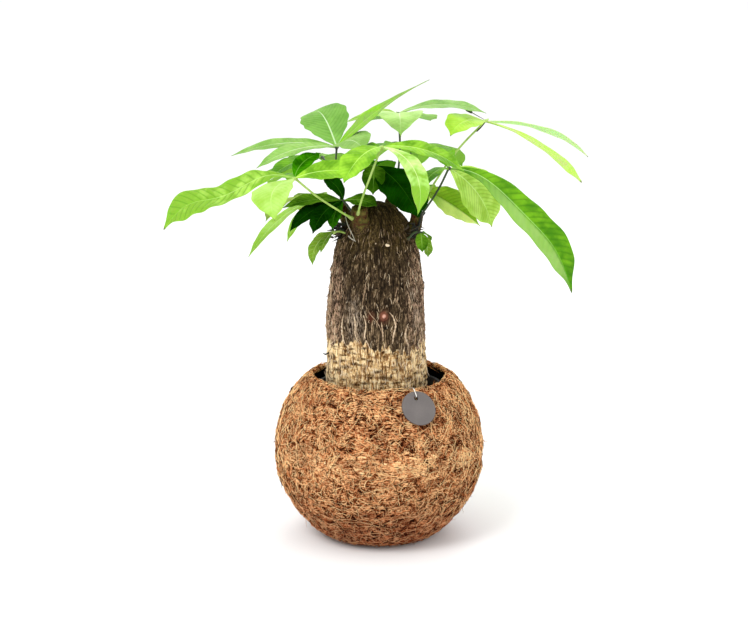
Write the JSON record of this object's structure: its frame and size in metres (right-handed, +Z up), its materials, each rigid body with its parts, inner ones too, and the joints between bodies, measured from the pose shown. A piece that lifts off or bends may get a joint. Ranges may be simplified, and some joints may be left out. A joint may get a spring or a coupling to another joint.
{
  "type": "potted money tree",
  "caption": "Potted money tree: a thick bare stump with hand-shaped glossy leaves, standing in a round coconut-fibre planter with a plain round tag.",
  "frame": {"origin": "on the floor, under the middle of the ball, at the flat foot", "axes": "+Z up along the stump, +X to the right and -Y to the front, where the tag hangs to the right of the middle"},
  "size_m": [0.4047, 0.3033, 0.4502],
  "materials": {
    "coir": "matted coconut fibre, rough, orange-brown",
    "pot_plastic": "black nursery plastic",
    "soil": "moist potting compost",
    "bark": "fissured grey-brown bark, pale and smoother near the soil",
    "shoot": "green-brown young stem",
    "leaf_light": "young leaf, light yellow-green, satin",
    "leaf_pale": "pale grey-green leaf, satin",
    "leaf_mid": "full-grown leaf, saturated green, satin",
    "leaf_dark": "old leaf, dark green, satin",
    "tag_board": "smooth grey board",
    "wire": "thin bright wire"
  },
  "bodies": {
    "root": {"coir_ball": "coir", "nursery_pot": "pot_plastic", "soil": "soil", "trunk": "bark", "shoot_left": "shoot", "shoot_right": "shoot", "shoot_back_left": "shoot", "shoot_back": "shoot", "leaf_front_left": "leaf_light", "leaf_top_left": "leaf_pale", "leaf_front_centre": "leaf_light", "leaf_top_centre": "leaf_pale", "leaf_top_right": "leaf_light", "leaf_right": "leaf_mid", "leaf_right_low": "leaf_mid", "leaf_centre_shade": "leaf_dark", "leaf_left_shade": "leaf_dark", "leaf_left_low": "leaf_light", "leaf_left_young": "leaf_mid", "leaf_right_young": "leaf_mid", "leaf_back_left": "leaf_mid", "leaf_back": "leaf_mid", "tag": "tag_board", "tag_wire": "wire"}
  },
  "joints": []
}
